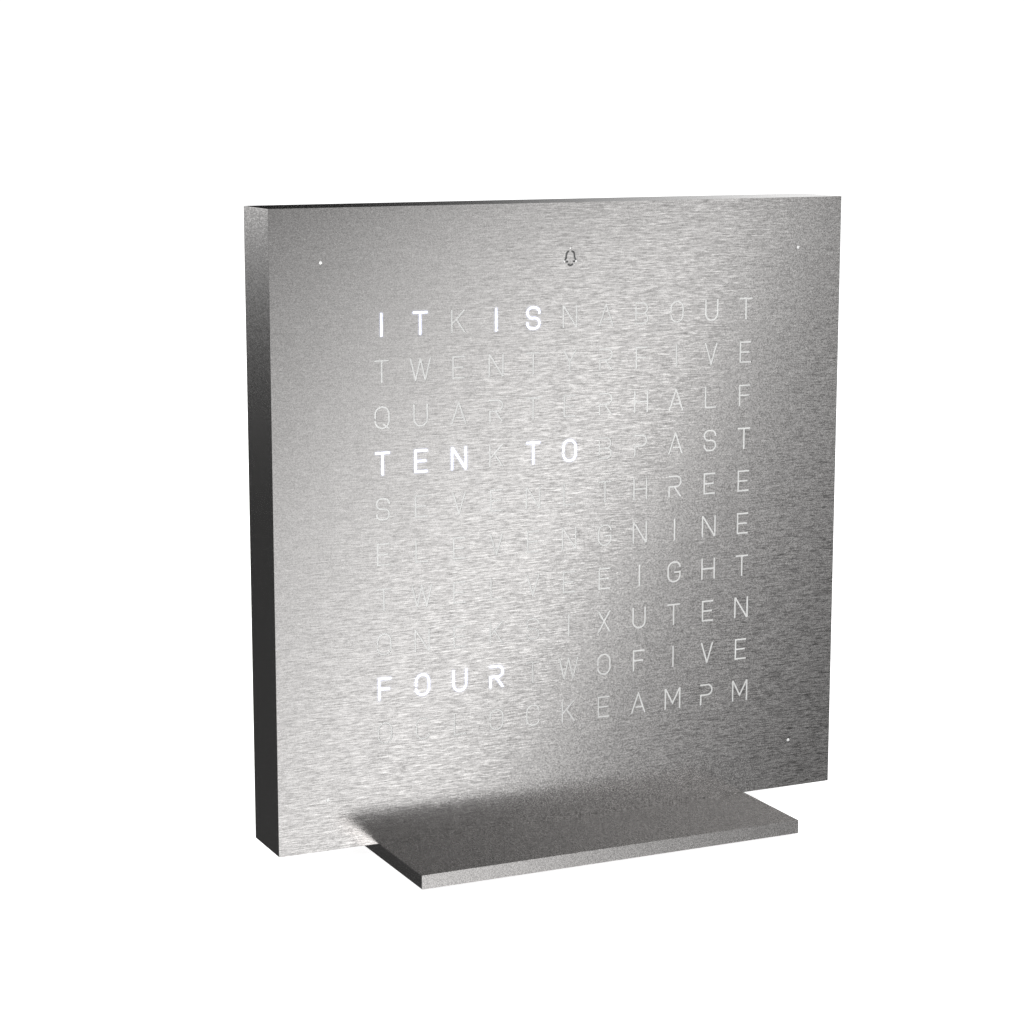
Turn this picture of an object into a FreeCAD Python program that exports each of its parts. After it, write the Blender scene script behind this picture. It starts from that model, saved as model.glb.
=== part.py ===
import FreeCAD, Part
import math
import os
import Sketcher

# A desk clock that tells the time in words: a square steel shell with letters cut through its face,
# standing on a flat steel foot. X runs to the right, +Y to the back and +Z up. The origin is on the
# surface that the clock stands on, below the middle of the shell's depth.

# What the face reads, row by row. Every hour and every five minutes can be picked out of it.
LETTER_ROWS = (
    "ITKISNABOUT",
    "TWENTYRFIVE",
    "QUARTERHALF",
    "TENKTOBPAST",
    "SEVENLTHREE",
    "ELEVENGNINE",
    "TWELVEEIGHT",
    "ONEKSIXUTEN",
    "FOURTWOFIVE",
    "OCLOCKEAMPM",
)
ROWS = len(LETTER_ROWS)
COLUMNS = len(LETTER_ROWS[0])

# Width of each letter as a share of its height: this is the drawing of the type face
LETTER_WIDTHS = {
    "A": 0.77, "B": 0.68, "C": 0.68, "E": 0.61, "F": 0.61, "G": 0.70, "H": 0.73, "I": 0.20,
    "K": 0.70, "L": 0.61, "M": 0.84, "N": 0.74, "O": 0.70, "P": 0.67, "Q": 0.72, "R": 0.69,
    "S": 0.67, "T": 0.67, "U": 0.70, "V": 0.68, "W": 1.02, "X": 0.68, "Y": 0.68,
}

# Four keys on the back, from left to right as seen from the front
KEYS = ("light", "alarm", "minute", "hour")

# Holes in the ring round the middle hole of the sounder
RING_HOLES = 6

# Lengths in mm below this are taken as nothing
TINY = 1e-6

DRIVING = [
    # shell
    ("faceSide", 135.0, "side of the square face"),
    ("bodyDepth", 15.0, "depth of the shell, front to back"),
    ("sheetThick", 1.0, "steel sheet of the shell"),
    ("edgeBreak", 0.12, "rounding of the outer steel edges"),
    # letters and lamps of the face
    ("pitchAcross", 8.67, "from one letter to the next in a row"),
    ("pitchDown", 9.63, "from one row to the next"),
    ("letterHigh", 4.85, "height of the capitals"),
    ("strokeThick", 0.42, "width of the cut strokes"),
    ("stencilGap", 0.45, "bridge that holds a letter's middle in the sheet"),
    ("dotInset", 11.05, "minute dots inside the edges of the face"),
    ("dotWide", 0.75, "diameter of a minute dot"),
    ("bellDrop", 11.5, "middle of the bell sign below the top of the face"),
    ("bellWide", 3.2, "width of the bell sign"),
    ("bellHigh", 4.1, "height of the bell sign"),
    ("inlayGap", 0.02, "clearance round the inlay in each cut"),
    ("inlayRecess", 0.03, "how far the inlay stays below the face"),
    ("filmThick", 0.5, "sheet that carries the inlaid letters"),
    ("windowSide", 7.0, "side of the smoked window behind the bell"),
    # light box and boards
    ("fitGap", 0.15, "clearance of flat pieces inside the shell and in each other"),
    ("cellWall", 0.8, "wall between two light cells"),
    ("lampCell", 6.0, "side of the lone light cells"),
    ("boardThick", 1.6, "circuit board"),
    ("partRoom", 5.2, "room for components between board and rear cover"),
    ("coverThick", 1.2, "rear cover"),
    ("ledWide", 2.0, "lamp, across"),
    ("ledHigh", 1.25, "lamp, up"),
    ("ledTall", 0.8, "lamp, off the board"),
    ("cupWide", 0.9, "reflector cup in the lamp"),
    ("cupDeep", 0.4, "depth of that cup"),
    ("sensorSide", 1.6, "light sensor"),
    ("sensorTall", 0.6, "light sensor, off the board"),
    ("sensorApart", 1.8, "lamp and sensor from the middle of the bell cell"),
    # studs, spacers and small screws
    ("studInset", 5.5, "corner studs inside the edges of the face"),
    ("smallThread", 2.5, "thread of studs and cover screws"),
    ("threadGap", 0.03, "radial clearance of a thread in its bore"),
    ("holeGap", 0.2, "radial clearance of a through hole"),
    ("flangeWide", 4.5, "weld flange of a stud"),
    ("flangeThick", 0.35, "thickness of that flange"),
    ("studBite", 2.0, "stud length inside the spacer"),
    ("spacerAcross", 5.0, "hexagon spacer across its flats"),
    ("smallHead", 4.7, "head of a cover screw"),
    ("smallScrew", 3.8, "length of a cover screw"),
    ("smallKey", 1.5, "hexagon socket of a cover screw"),
    ("headLip", 0.1, "cylindrical lip of a countersunk head"),
    ("keyDeep", 0.7, "depth of a screw's socket"),
    # foot
    ("footWide", 90.0, "width of the foot plate"),
    ("footReach", 23.5, "foot plate beyond the shell, front and rear"),
    ("footThick", 3.0, "foot plate"),
    ("padThick", 0.6, "anti-slip pad"),
    ("padInset", 2.5, "pad inside the edge of the foot plate"),
    ("footThread", 3.0, "thread of the foot screws"),
    ("footHead", 5.6, "head of a foot screw"),
    ("footScrew", 7.6, "length of a foot screw"),
    ("footKey", 2.0, "hexagon socket of a foot screw"),
    ("footSpan", 44.0, "between the two foot screws"),
    ("barLong", 60.0, "threaded bar inside the shell"),
    ("barTall", 4.0, "height of that bar"),
    ("barGap", 0.25, "bar to board and cover"),
    # keys and their switches
    ("keyPitch", 14.0, "from one key to the next"),
    ("keyDrop", 20.0, "keys below the top of the shell"),
    ("keyWide", 4.0, "diameter of a key"),
    ("keyGap", 0.2, "radial clearance of a key in the cover"),
    ("collarWide", 5.8, "collar that keeps a key inside"),
    ("collarThick", 0.7, "thickness of that collar"),
    ("collarPlay", 0.15, "collar to cover at rest"),
    ("keyProud", 0.8, "key above the cover"),
    ("keyRound", 0.25, "rounding of a key's rim"),
    ("keyTravel", 0.5, "travel of a key"),
    ("pressRoom", 0.65, "collar to switch when pressed"),
    ("switchSide", 6.0, "side of a switch"),
    ("switchFloor", 0.8, "floor of a switch"),
    ("plungerWide", 3.4, "plunger of a switch"),
    ("plungerGap", 0.05, "radial clearance of the plunger"),
    ("plungerRoom", 0.2, "room below a pressed plunger"),
    # power socket
    ("socketWide", 8.94, "metal shell of the power socket, across"),
    ("socketHigh", 3.26, "metal shell of the power socket, up"),
    ("socketRound", 1.25, "corner rounding of that shell"),
    ("socketWall", 0.3, "sheet of that shell"),
    ("socketGap", 0.3, "shell to its opening in the cover"),
    ("socketSunk", 0.1, "mouth of the shell below the cover's surface"),
    ("socketRise", 20.0, "middle of the socket above the shell's bottom"),
    ("tongueWide", 6.7, "contact tongue, across"),
    ("tongueThick", 0.7, "contact tongue, up"),
    ("tongueSunk", 0.9, "tip of the tongue below the mouth"),
    # sounder
    ("buzzerWide", 12.0, "case of the buzzer"),
    ("buzzerWall", 0.5, "wall of that case"),
    ("buzzerStep", 0.8, "step that carries the disc"),
    ("buzzerGap", 0.6, "case to rear cover"),
    ("buzzerMouth", 2.4, "sound opening of the case"),
    ("discThick", 0.3, "sounding disc"),
    ("discGap", 0.05, "radial clearance of the disc in the case"),
    ("buzzerAcross", -36.0, "buzzer from the middle, across"),
    ("buzzerUp", 9.5, "buzzer above the power socket"),
    ("soundHole", 1.4, "holes in the cover behind the buzzer"),
    ("soundRing", 5.6, "diameter of the ring of those holes"),
    # backup cell
    ("coinWide", 20.0, "coin cell"),
    ("coinTall", 3.2, "coin cell"),
    ("coinCrown", 0.3, "step on the coin cell's rim"),
    ("coinGap", 0.1, "coin cell to its holder"),
    ("holderWall", 1.0, "rim of the holder"),
    ("holderFloor", 0.5, "floor of the holder"),
    ("clipWide", 5.0, "spring clip over the cell"),
    ("clipThick", 0.3, "sheet of that clip"),
    ("coinAcross", 36.0, "coin cell from the middle, across"),
    ("coinUp", 9.5, "coin cell above the power socket"),
]

# Plain components on the rear of the board: name, across, up, off the board, place across, place up.
# The first four are placed from the middle of the face and the others from the power socket.
BLOCKS = (
    ("controller", 7.0, 7.0, 0.9, 0.0, 8.0),
    ("driver", 5.0, 5.0, 0.9, 28.0, 18.0),
    ("timer", 4.0, 4.0, 0.9, -14.0, 8.0),
    ("crystal", 3.2, 1.5, 0.8, -14.0, 1.5),
    ("regulator", 6.5, 3.5, 1.7, -13.0, 13.5),
    ("inductor", 5.0, 5.0, 3.0, -13.0, 5.5),
    ("capacitor", 4.3, 4.3, 3.8, 12.0, 19.5),
)
for name, across, up, tall, place_across, place_up in BLOCKS:
    DRIVING += [
        (f"{name}Wide", across, f"{name}, across"),
        (f"{name}High", up, f"{name}, up"),
        (f"{name}Tall", tall, f"{name}, off the board"),
        (f"{name}Across", place_across, f"place of the {name}, across"),
        (f"{name}Up", place_up, f"place of the {name}, up"),
    ]
DRIVING.append(("blockEdge", 0.15, "chamfer of those components"))

# Places and sizes that follow from the driving dimensions
DERIVED = [
    ("face", "-sizes.bodyDepth / 2", "front of the face"),
    ("back", "sizes.bodyDepth / 2", "back of the shell"),
    ("filmFront", "face + sizes.sheetThick", "inside of the face"),
    ("baffleFront", "filmFront + sizes.filmThick", "front of the light box"),
    ("coverFront", "back - sizes.coverThick", "inside of the rear cover"),
    ("boardRear", "coverFront - sizes.partRoom", "component side of the board"),
    ("boardFront", "boardRear - sizes.boardThick", "lamp side of the board"),
    ("baffleDeep", "boardFront - baffleFront", "depth of the light box"),
    ("footTop", "sizes.padThick + sizes.footThick", "where the shell stands"),
    ("middle", "footTop + sizes.faceSide / 2", "middle of the face"),
    ("innerSide", "sizes.faceSide - 2 * sizes.sheetThick", "inside of the shell"),
    ("flatSide", "innerSide - 2 * sizes.fitGap", "flat pieces inside the shell"),
    ("cellWide", "sizes.pitchAcross - sizes.cellWall", "light cell, across"),
    ("cellHigh", "sizes.pitchDown - sizes.cellWall", "light cell, up"),
    ("bellUp", "sizes.faceSide / 2 - sizes.bellDrop", "bell sign above the middle"),
    ("dotOffset", "sizes.faceSide / 2 - sizes.dotInset", "minute dots from the middle, both ways"),
    ("studOffset", "sizes.faceSide / 2 - sizes.studInset", "corner studs from the middle, both ways"),
    ("throughHole", "sizes.smallThread + 2 * sizes.holeGap", "hole for a small thread"),
    ("threadBore", "sizes.smallThread + 2 * sizes.threadGap", "bore for a small thread"),
    ("footHole", "sizes.footThread + 2 * sizes.holeGap", "hole for a foot screw"),
    ("footBore", "sizes.footThread + 2 * sizes.threadGap", "bore for a foot screw"),
    ("footDeep", "sizes.bodyDepth + 2 * sizes.footReach", "foot plate, front to back"),
    ("screwLine", "(boardRear + coverFront) / 2", "line of the foot screws"),
    ("barDeep", "sizes.partRoom - 2 * sizes.barGap", "threaded bar, front to back"),
    ("barUp", "footTop + sizes.sheetThick", "underside of the threaded bar"),
    ("keyUp", "middle + sizes.faceSide / 2 - sizes.keyDrop", "height of the keys"),
    ("collarRear", "coverFront - sizes.collarPlay", "rear of a key's collar"),
    ("collarFront", "collarRear - sizes.collarThick", "front of a key's collar"),
    ("keyLong", "back + sizes.keyProud - collarFront", "whole length of a key"),
    ("switchTall", "collarFront - sizes.keyTravel - sizes.pressRoom - boardRear", "a switch"),
    ("plungerFront", "boardRear + sizes.switchFloor + sizes.plungerRoom + sizes.keyTravel", "its plunger"),
    ("plungerLong", "collarFront - plungerFront", "length of the plunger"),
    ("socketLong", "back - sizes.socketSunk - boardRear", "power socket off the board"),
    ("socketUp", "footTop + sizes.socketRise", "height of the power socket"),
    ("buzzerTall", "sizes.partRoom - sizes.buzzerGap", "buzzer off the board"),
    ("holderWide", "sizes.coinWide + 2 * (sizes.coinGap + sizes.holderWall)", "cell holder"),
]

doc = FreeCAD.newDocument("word_clock")


def fill_sheet(name, rows):
    """A spreadsheet with a note, a value and an alias for each row."""
    sheet = doc.addObject("Spreadsheet::Sheet", name)
    for line, (alias, value, note) in enumerate(rows, start=1):
        sheet.set(f"A{line}", note)
        sheet.set(f"B{line}", str(value))
        sheet.setAlias(f"B{line}", alias)
    return sheet


sizes = fill_sheet("sizes", DRIVING)
places = fill_sheet("places", [(alias, f"={formula}", note) for alias, formula, note in DERIVED])
doc.recompute()


def size(alias):
    return float(sizes.get(alias))


def place(alias):
    return float(places.get(alias))


def new_body(name, across="0", depth="0", up="0"):
    """An empty body whose own origin is put at the given expressions."""
    body = doc.addObject("PartDesign::Body", name)
    put(body, across, depth, up)
    return body


def put(thing, across, depth, up):
    for axis, expression in zip("xyz", (across, depth, up)):
        thing.setExpression(f"Placement.Base.{axis}", expression)


def sketch_on(body, role, offset="0"):
    """A sketch on one of the body's own planes, or beside it by an offset along its normal."""
    sketch = body.newObject("Sketcher::SketchObject", f"{body.Name}_sketch")
    plane = next(item for item in body.Origin.OriginFeatures if item.Role == role)
    sketch.AttachmentSupport = [(plane, "")]
    sketch.MapMode = "FlatFace"
    sketch.setExpression("AttachmentOffset.Base.z", offset)
    return sketch


def tie(sketch, kind, references, now, expression):
    number = sketch.addConstraint(Sketcher.Constraint(kind, *references, now))
    sketch.setExpression(f"Constraints[{number}]", expression)


def outline(sketch, corners):
    """A closed run of straight lines, every corner tied to its two expressions."""
    first = sketch.GeometryCount
    count = len(corners)
    turn = 2 * math.pi / count
    rough = [FreeCAD.Vector(math.cos(turn * i), math.sin(turn * i), 0) for i in range(count)]
    for i in range(count):
        sketch.addGeometry(Part.LineSegment(rough[i], rough[(i + 1) % count]), False)
    for i in range(count):
        sketch.addConstraint(Sketcher.Constraint("Coincident", first + i, 2, first + (i + 1) % count, 1))
    for i, (along, up) in enumerate(corners):
        tie(sketch, "DistanceX", (-1, 1, first + i, 1), rough[i].x, along)
        tie(sketch, "DistanceY", (-1, 1, first + i, 1), rough[i].y, up)


def rectangle(sketch, wide, high, across="0", up="0"):
    left, right = (f"{across} {sign} ({wide}) / 2" for sign in "-+")
    low, top = (f"{up} {sign} ({high}) / 2" for sign in "-+")
    outline(sketch, [(left, low), (right, low), (right, top), (left, top)])


def hexagon(sketch, flats):
    """Across its flats along the sketch's vertical."""
    corner = f"{flats} / sqrt(3)"
    half, rise = f"{flats} / sqrt(3) / 2", f"{flats} / 2"
    outline(sketch, [(corner, "0"), (half, rise), (f"-{half}", rise), (f"-{corner}", "0"),
                     (f"-{half}", f"-{rise}"), (half, f"-{rise}")])


def circle(sketch, wide, across="0", up="0"):
    # Drawn beside the origin, the circle is brought to its place by its ties
    number = sketch.addGeometry(Part.Circle(FreeCAD.Vector(1, 1, 0), FreeCAD.Vector(0, 0, 1), 1), False)
    tie(sketch, "DistanceX", (-1, 1, number, 3), 1, across)
    tie(sketch, "DistanceY", (-1, 1, number, 3), 1, up)
    tie(sketch, "Diameter", (number,), 2, wide)


def corners_of(offset):
    """The four places that lie the same way from the middle, across and up."""
    return [(f"{a}{offset}", f"{b}{offset}") for a in ("", "-") for b in ("", "-")]


def pad(body, sketch, long, backwards=False):
    """Adds material from a sketch, along its normal or the other way."""
    feature = body.newObject("PartDesign::Pad", f"{body.Name}_pad")
    feature.Profile = sketch
    feature.setExpression("Length", long)
    feature.Reversed = backwards
    doc.recompute()
    return feature


def pocket(body, sketch, long, backwards=False):
    """Cuts from a sketch against its normal, or along it, and makes sure that something went."""
    before = body.Shape.Volume
    feature = body.newObject("PartDesign::Pocket", f"{body.Name}_pocket")
    feature.Profile = sketch
    feature.setExpression("Length", long)
    feature.Reversed = backwards
    doc.recompute()
    if not body.Shape.Volume < before:
        raise ValueError(f"a pocket of {body.Name} cuts nothing")
    return feature


def turned(name, profile, across="0", depth="0", up="0", upright=False):
    """A body turned about its own Y axis, or about Z where it stands upright."""
    body = new_body(name, across, depth, up)
    sketch = sketch_on(body, "XZ_Plane" if upright else "XY_Plane")
    outline(sketch, profile)
    feature = body.newObject("PartDesign::Revolution", f"{name}_turn")
    feature.Profile = sketch
    feature.ReferenceAxis = (sketch, ["V_Axis"])
    feature.Angle = 360
    doc.recompute()
    return body


def edges_where(shape, wanted):
    """Names of the edges whose middle and direction suit a test."""
    names = []
    for number, edge in enumerate(shape.Edges, start=1):
        ends = [vertex.Point for vertex in edge.Vertexes]
        if len(ends) == 2 and wanted((ends[0] + ends[1]) / 2, (ends[1] - ends[0]).normalize()):
            names.append(f"Edge{number}")
    return names


def runs_back(way):
    """Whether a direction runs from the front to the back."""
    return abs(abs(way.y) - 1) < TINY


def soften(body, feature, kind, amount, wanted):
    """A fillet or chamfer on the edges of a feature that suit a test."""
    names = edges_where(feature.Shape, wanted)
    blend = body.newObject(f"PartDesign::{kind}", f"{body.Name}_{kind.lower()}")
    blend.Base = (feature, names)
    blend.setExpression("Radius" if kind == "Fillet" else "Size", amount)
    doc.recompute()
    return blend


def feature_of(name, shape):
    thing = doc.addObject("Part::Feature", name)
    thing.Shape = shape
    return thing


def joined(kind, name, base, tool):
    thing = doc.addObject(f"Part::{kind}", name)
    thing.Base = base
    thing.Tool = tool
    doc.recompute()
    return thing


def copies(name, pattern, spots):
    """One node that holds the same solid at several places, given as moves of the pattern."""
    shape = pattern.Shape
    solids = [shape.translated(FreeCAD.Vector(*spot)) for spot in spots]
    return feature_of(name, Part.makeCompound(solids))


def square_spots(alias):
    reach = place(alias)
    return [(a * reach, 0, b * reach) for a in (-1, 1) for b in (-1, 1)]


# The strokes of the letters

def stroke_face(chain, thick, inset):
    """The flat face of one stroke, in the XZ plane, along a chain of (x, z) or (x, z, radius).

    The inset makes it slimmer and shorter all round. A slanting end runs on by half the stroke,
    so that the letter's own frame can cut it level."""
    points = [FreeCAD.Vector(p[0], 0, p[1]) for p in chain]
    radii = [p[2] if len(p) > 2 else 0 for p in chain]
    ways = [(b - a).normalize() for a, b in zip(points, points[1:])]
    for end, way, sign in ((0, ways[0], -1), (-1, ways[-1], 1)):
        slanting = abs(way.x * way.z) > TINY
        points[end] = points[end] + way * sign * (thick / 2 if slanting else -inset)
    sides = []
    for offset in (thick / 2 - inset, inset - thick / 2):
        normals = [FreeCAD.Vector(-way.z, 0, way.x) for way in ways]
        here = points[0] + normals[0] * offset
        edges = []
        for i in range(1, len(points) - 1):
            before, after = ways[i - 1], ways[i]
            turn = before.x * after.z - before.z * after.x
            if radii[i] == 0:
                corner = (normals[i - 1] + normals[i]) * (offset / (1 + normals[i - 1].dot(normals[i])))
                arc_start = arc_end = points[i] + corner
            else:
                back_off = radii[i] * math.tan(before.getAngle(after) / 2)
                start, stop = points[i] - before * back_off, points[i] + after * back_off
                centre = start + normals[i - 1] * math.copysign(radii[i], turn)
                arc_start = start + normals[i - 1] * offset
                arc_end = stop + normals[i] * offset
                bulge = (points[i] - centre).normalize() * (radii[i] - math.copysign(offset, offset * turn))
                arc = Part.Arc(arc_start, centre + bulge, arc_end).toShape()
            if (arc_start - here).Length > TINY:
                edges.append(Part.makeLine(here, arc_start))
            if radii[i]:
                edges.append(arc)
            here = arc_end
        last = points[-1] + normals[-1] * offset
        edges.append(Part.makeLine(here, last))
        sides.append((edges, points[0] + normals[0] * offset, last))
    (left, left_start, left_end), (right, right_start, right_end) = sides
    cap, foot = Part.makeLine(left_end, right_end), Part.makeLine(right_start, left_start)
    return Part.Face(Part.Wire(left + [cap] + right[::-1] + [foot]))


def letter_strokes(letter, wide, high, thick, gap):
    """Centre lines of a letter that stands on z = 0 between x = 0 and its width."""
    left, right, centre = thick / 2, wide - thick / 2, wide / 2
    low, top = thick / 2, high - thick / 2
    middle, bar = high / 2, high * 0.48
    bowl = (right - left) / 2
    waist, neck = (middle - low) / 2, (top - bar) / 2
    split = low + bowl + gap
    rest = low + bowl * 1.02
    slim = right - wide * 0.04
    apex = thick / 2
    cross = high * 0.3
    leg = left + (centre - left) * cross / high
    if letter in "OQ":
        ring = [(left, split), (left, top, bowl), (right, top, bowl), (right, low, bowl),
                (left, low, bowl), (left, rest)]
        tail = [(centre + wide * 0.1, high * 0.2), (right, 0)]
        return [ring] if letter == "O" else [ring, tail]
    if letter in "PR":
        stem = [(0, top), (right, top, neck), (right, bar, neck), (left, bar), (left, 0)]
        return [stem] if letter == "P" else [stem, [(centre - thick / 4, bar - thick / 4), (right, 0)]]
    if letter in "CG":
        curl = bowl * 0.75
        end = [(right, low, curl), (right, low + curl * 1.1)]
        if letter == "G":
            end = [(right, low, bowl), (right, bar), (centre, bar)]
        return [[(right, top - curl * 1.1), (right, top, curl), (left, top, bowl), (left, low, bowl)] + end]
    shapes = {
        "A": [[(left, 0), (centre, high - apex), (right, 0)], [(leg + gap, cross), (wide - leg, cross)]],
        "B": [[(0, top), (slim, top, neck), (slim, bar, neck), (left, bar)],
              [(left, bar), (right, bar, (bar - low) / 2), (right, low, (bar - low) / 2), (0, low)],
              [(left, low + apex + gap), (left, top - apex - gap)]],
        "E": [[(wide, top), (left, top), (left, low), (wide, low)], [(left, middle), (slim, middle)]],
        "F": [[(wide, top), (left, top), (left, 0)], [(left, middle), (slim, middle)]],
        "H": [[(left, 0), (left, high)], [(right, 0), (right, high)], [(left, middle), (right, middle)]],
        "I": [[(centre, 0), (centre, high)]],
        "K": [[(left, 0), (left, high)], [(left, high * 0.38), (right, high)],
              [(centre - wide * 0.12, high * 0.58), (right, 0)]],
        "L": [[(left, high), (left, low), (wide, low)]],
        "M": [[(left, 0), (left, high)], [(right, 0), (right, high)],
              [(left, high), (centre, high * 0.28), (right, high)]],
        "N": [[(left, 0), (left, high)], [(right, 0), (right, high)], [(left, high), (right, 0)]],
        "S": [[(right, top - waist * 1.15), (right, top, waist), (left, top, waist), (left, middle, waist),
               (right, middle, waist), (right, low, waist), (left, low, waist), (left, low + waist * 1.15)]],
        "T": [[(0, top), (wide, top)], [(centre, 0), (centre, top)]],
        "U": [[(left, high), (left, low, bowl), (right, low, bowl), (right, high)]],
        "V": [[(left, high), (centre, apex), (right, high)]],
        "W": [[(left, high), (wide * 0.28, apex), (centre, high - apex), (wide * 0.72, apex),
               (right, high)]],
        "X": [[(left, 0), (right, high)], [(left, high), (right, 0)]],
        "Y": [[(left, high), (centre, bar), (right, high)], [(centre, 0), (centre, bar)]],
    }
    return shapes[letter]


def bell_strokes(wide, high, thick):
    """A plain bell in four pieces: two flanks, a clapper and a knob."""
    rim, shoulder, crown = high * 0.26, high * 0.44, high * 0.78
    flanks = []
    for side in (-1, 1):
        flanks.append([(side * wide * 0.17, rim), (side * wide * 0.46, rim),
                       (side * wide * 0.32, shoulder, wide * 0.12), (side * wide * 0.27, crown, wide * 0.2),
                       (side * wide * 0.08, crown)])
    clapper = [(-wide * 0.14, thick), (0, thick / 2, thick * 0.7), (wide * 0.14, thick)]
    knob = [(0, high - thick), (0, high)]
    return [[(x + wide / 2, z, *radius) for x, z, *radius in chain] for chain in flanks + [clapper, knob]]


def sign(strokes, wide, high, inset, front, rear):
    """Solid strokes between two depths, centred on x = 0 and z = 0."""
    thick = size("strokeThick")
    deep = rear - front
    solids = [stroke_face(chain, thick, inset).extrude(FreeCAD.Vector(0, deep, 0)) for chain in strokes]
    whole = solids[0].fuse(solids[1:]).removeSplitter() if len(solids) > 1 else solids[0]
    frame = Part.makeBox(wide - 2 * inset, deep, high - 2 * inset, FreeCAD.Vector(inset, 0, inset))
    return whole.common(frame).translated(FreeCAD.Vector(-wide / 2, front, -high / 2))


def letter_places():
    """Each letter of the face with its place, from the middle of the face."""
    for row, text in enumerate(LETTER_ROWS):
        up = ((ROWS - 1) / 2 - row) * size("pitchDown")
        for column, letter in enumerate(text):
            yield letter, FreeCAD.Vector((column - (COLUMNS - 1) / 2) * size("pitchAcross"), 0, up)


def face_signs(inset, front, rear):
    """All letters and minute dots of the face as solids between two depths."""
    high = size("letterHigh")
    drawn = {}
    for letter in sorted(set("".join(LETTER_ROWS))):
        wide = LETTER_WIDTHS[letter] * high
        strokes = letter_strokes(letter, wide, high, size("strokeThick"), size("stencilGap"))
        drawn[letter] = sign(strokes, wide, high, inset, front, rear)
    signs = [drawn[letter].translated(spot) for letter, spot in letter_places()]
    radius = size("dotWide") / 2 - inset
    for across, _, up in square_spots("dotOffset"):
        start = FreeCAD.Vector(across, front, up)
        signs.append(Part.makeCylinder(radius, rear - front, start, FreeCAD.Vector(0, 1, 0)))
    return [solid for shape in signs for solid in shape.Solids]


def on_the_face(solids):
    """Moves what is drawn about the middle of the face to where the face is."""
    seat = FreeCAD.Vector(0, place("face"), place("middle"))
    return [solid.translated(seat) for solid in solids]


def bell_sign(inset, front, rear):
    wide, high = size("bellWide"), size("bellHigh")
    bell = sign(bell_strokes(wide, high, size("strokeThick")), wide, high, inset, front, rear)
    return bell.translated(FreeCAD.Vector(0, 0, place("bellUp"))).Solids


# Front cover: a square steel tray, open at the back, with the signs cut through its face
def make_front_cover():
    shell = new_body("front_cover_shell", depth="places.face", up="places.middle")
    square = sketch_on(shell, "XZ_Plane")
    rectangle(square, "sizes.faceSide", "sizes.faceSide")
    block = pad(shell, square, "sizes.bodyDepth", backwards=True)
    front, rear = 0, size("bodyDepth")
    soften(shell, block, "Fillet", "sizes.edgeBreak",
           lambda mid, way: abs(mid.y - front) < TINY or (runs_back(way) and front < mid.y < rear))
    hollow = sketch_on(shell, "XZ_Plane", "-sizes.sheetThick")
    rectangle(hollow, "places.innerSide", "places.innerSide")
    pocket(shell, hollow, "sizes.bodyDepth")
    screw_holes = sketch_on(shell, "XY_Plane", "-sizes.faceSide / 2")
    for side in ("-", ""):
        circle(screw_holes, "places.footHole", f"{side}sizes.footSpan / 2", "places.screwLine - places.face")
    pocket(shell, screw_holes, "sizes.sheetThick", backwards=True)
    deep = size("sheetThick")
    cuts = face_signs(0, -deep, 2 * deep) + bell_sign(0, -deep, 2 * deep)
    return feature_of("front_cover", shell.Shape.cut(on_the_face(cuts)))


# The inlay is one moulded sheet with raised letters that fill the cuts; the bell has a sheet of its own
def make_inlays():
    front, rear = size("inlayRecess"), size("sheetThick")
    film = new_body("inlay_film", depth="places.filmFront", up="places.middle")
    outer = sketch_on(film, "XZ_Plane")
    rectangle(outer, "places.flatSide", "places.flatSide")
    pad(film, outer, "sizes.filmThick", backwards=True)
    gaps = sketch_on(film, "XZ_Plane")
    rectangle(gaps, *["sizes.windowSide + 2 * sizes.fitGap"] * 2, up="places.bellUp")
    for across, up in corners_of("places.studOffset"):
        circle(gaps, "sizes.flangeWide + 2 * sizes.holeGap", across, up)
    pocket(film, gaps, "sizes.filmThick")
    raised = on_the_face(face_signs(size("inlayGap"), front, rear))
    inlay = feature_of("letter_inlay", film.Shape.fuse(raised))

    pane = new_body("alarm_pane", depth="places.filmFront", up="places.middle + places.bellUp")
    window = sketch_on(pane, "XZ_Plane")
    rectangle(window, "sizes.windowSide", "sizes.windowSide")
    pad(pane, window, "sizes.filmThick", backwards=True)
    raised = on_the_face(bell_sign(size("inlayGap"), front, rear))
    return [inlay, feature_of("alarm_window", pane.Shape.fuse(raised))]


def stud_holes(sketch):
    for across, up in corners_of("places.studOffset"):
        circle(sketch, "places.throughHole", across, up)


# Light box: a grid of open cells, one behind each letter, dot and the bell
def make_light_baffle():
    body = new_body("light_baffle", depth="places.baffleFront", up="places.middle")
    outer = sketch_on(body, "XZ_Plane")
    rectangle(outer, "places.flatSide", "places.flatSide")
    pad(body, outer, "places.baffleDeep", backwards=True)
    cell = sketch_on(body, "XZ_Plane")
    rectangle(cell, "places.cellWide", "places.cellHigh",
              f"-sizes.pitchAcross * {COLUMNS - 1} / 2", f"-sizes.pitchDown * {ROWS - 1} / 2")
    first = pocket(body, cell, "places.baffleDeep")
    grid = body.newObject("PartDesign::LinearPattern", "light_cells")
    grid.Originals = [first]
    grid.Direction, grid.Occurrences = (cell, ["H_Axis"]), COLUMNS
    grid.Direction2, grid.Occurrences2 = (cell, ["V_Axis"]), ROWS
    grid.setExpression("Length", f"sizes.pitchAcross * {COLUMNS - 1}")
    grid.setExpression("Length2", f"sizes.pitchDown * {ROWS - 1}")
    body.Tip = grid
    doc.recompute()
    lone = sketch_on(body, "XZ_Plane")
    for across, up in corners_of("places.dotOffset") + [("0", "places.bellUp")]:
        rectangle(lone, "sizes.lampCell", "sizes.lampCell", across, up)
    stud_holes(lone)
    pocket(body, lone, "places.baffleDeep")
    return body


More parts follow.
